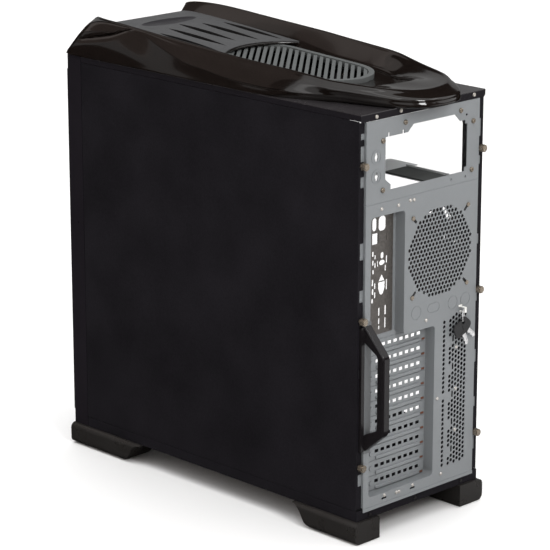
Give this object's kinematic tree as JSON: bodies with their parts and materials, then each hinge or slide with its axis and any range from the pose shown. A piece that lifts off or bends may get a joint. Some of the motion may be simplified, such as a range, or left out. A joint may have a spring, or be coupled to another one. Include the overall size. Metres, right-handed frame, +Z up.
{
  "type": "desktop computer tower",
  "caption": "Tall black steel computer tower case with perforated gray rear, slot covers, windowed side panel, pull handle, glossy finned top with sliding lid and hinged front door.",
  "frame": {"origin": "centre of the tower's footprint box on the floor", "axes": "+Z up, the front door faces -Y, the rear panel faces +Y, +X is the motherboard tray side"},
  "size_m": [0.246, 0.6136, 0.6136],
  "materials": {
    "gray_steel": "satin gray powder over zinc",
    "black_steel": "semi-gloss black paint",
    "port_plate": "thin stamped plate",
    "nickel": "nickel plated",
    "brass": "machined",
    "rubber": "matt",
    "foot_plastic": "fine grain",
    "bezel_plastic": "gloss black",
    "black_plastic": "fine grain",
    "fan_blades": "tinted translucent",
    "gloss_black": "piano black",
    "lid_gray": "satin gray",
    "steel_bright": "polished",
    "lens": "milky lens",
    "window": "clear acrylic",
    "button_gray": "gloss",
    "key_head": "black moulded head",
    "white_nylon": "nylon"
  },
  "bodies": {
    "chassis": {"base_tray": "black_steel", "rear_panel_upper": "gray_steel", "rear_panel_lower": "gray_steel", "chassis_rivets": "nickel", "slot_frame": "gray_steel", "slot_covers": "gray_steel", "slot_cover_screws": "nickel", "io_shield": "port_plate", "psu_bracket": "gray_steel", "psu_bracket_screws": "nickel", "psu_shelf": "gray_steel", "psu_pad": "rubber", "motherboard_tray": "gray_steel", "motherboard_standoffs": "brass", "front_frame": "gray_steel", "drive_cage_left": "gray_steel", "drive_cage_right": "gray_steel", "hard_drive_cage": "gray_steel", "top_cover": "black_steel", "cover_screws": "nickel", "rear_fan_frame": "black_plastic", "top_fan_frame": "black_plastic", "front_fan_frame": "black_plastic", "fan_screws": "nickel", "rear_right_foot": "foot_plastic", "rear_left_foot": "foot_plastic", "front_right_foot": "foot_plastic", "front_left_foot": "foot_plastic", "foot_pads": "rubber", "foot_screws": "nickel", "front_bezel": "bezel_plastic", "door_hinge_pins": "nickel", "front_mesh": "black_plastic", "bay_covers": "black_plastic", "indicator_lenses": "lens", "top_fairing": "gloss_black", "top_port_panel": "black_plastic", "port_sockets": "steel_bright", "top_grille": "lid_gray", "key_tie": "white_nylon"},
    "rear_fan": {"rear_fan_rotor": "fan_blades"},
    "top_fan": {"top_fan_rotor": "fan_blades"},
    "front_fan": {"front_fan_rotor": "fan_blades"},
    "lid": {"top_lid": "lid_gray"},
    "right_panel": {"right_side_panel": "black_steel", "right_thumbscrews": "nickel", "right_panel_handle": "gloss_black"},
    "left_panel": {"left_side_panel": "black_steel", "left_window": "window", "window_rivets": "black_plastic", "left_thumbscrews": "nickel"},
    "door": {"front_door": "bezel_plastic"},
    "lock": {"door_lock": "steel_bright"},
    "power": {"power_button": "button_gray"},
    "reset": {"reset_button": "button_gray"},
    "key_bunch": {"key_ring": "steel_bright", "key_one": "key_head", "key_two": "key_head"}
  },
  "joints": [
    {"name": "rear_fan_spin", "type": "hinge", "parent": "chassis", "child": "rear_fan", "pos_m": [-0.034, 0.256, 0.3626], "axis": [0, 1, 0], "continuous": true},
    {"name": "top_fan_spin", "type": "hinge", "parent": "chassis", "child": "top_fan", "pos_m": [0, 0.025, 0.55], "axis": [0, 0, 1], "continuous": true},
    {"name": "front_fan_spin", "type": "hinge", "parent": "chassis", "child": "front_fan", "pos_m": [0, -0.246, 0.135], "axis": [0, 1, 0], "continuous": true},
    {"name": "lid_slide", "type": "slide", "parent": "chassis", "child": "lid", "axis": [0, 0.9987, -0.051], "range_m": [0, 0.07]},
    {"name": "right_panel_slide", "type": "slide", "parent": "chassis", "child": "right_panel", "axis": [0, 1, 0], "range_m": [0, 0.02]},
    {"name": "left_panel_slide", "type": "slide", "parent": "chassis", "child": "left_panel", "axis": [0, 1, 0], "range_m": [0, 0.02]},
    {"name": "door_swing", "type": "hinge", "parent": "chassis", "child": "door", "pos_m": [-0.104, -0.2988, 0.295], "axis": [0, 0, -1], "range_deg": [0, 110]},
    {"name": "lock_turn", "type": "hinge", "parent": "door", "child": "lock", "pos_m": [0.097, -0.294, 0.4], "axis": [0, 1, 0], "range_deg": [0, 90]},
    {"name": "power_press", "type": "slide", "parent": "chassis", "child": "power", "axis": [0, 1, 0], "range_m": [0, 0.003], "stiffness_N_per_m": 400},
    {"name": "reset_press", "type": "slide", "parent": "chassis", "child": "reset", "axis": [0, 1, 0], "range_m": [0, 0.002], "stiffness_N_per_m": 400},
    {"name": "keys_swing", "type": "hinge", "parent": "chassis", "child": "key_bunch", "pos_m": [-0.075, 0.275, 0.2766], "axis": [1, 0, 0], "range_deg": [0, 45]}
  ]
}
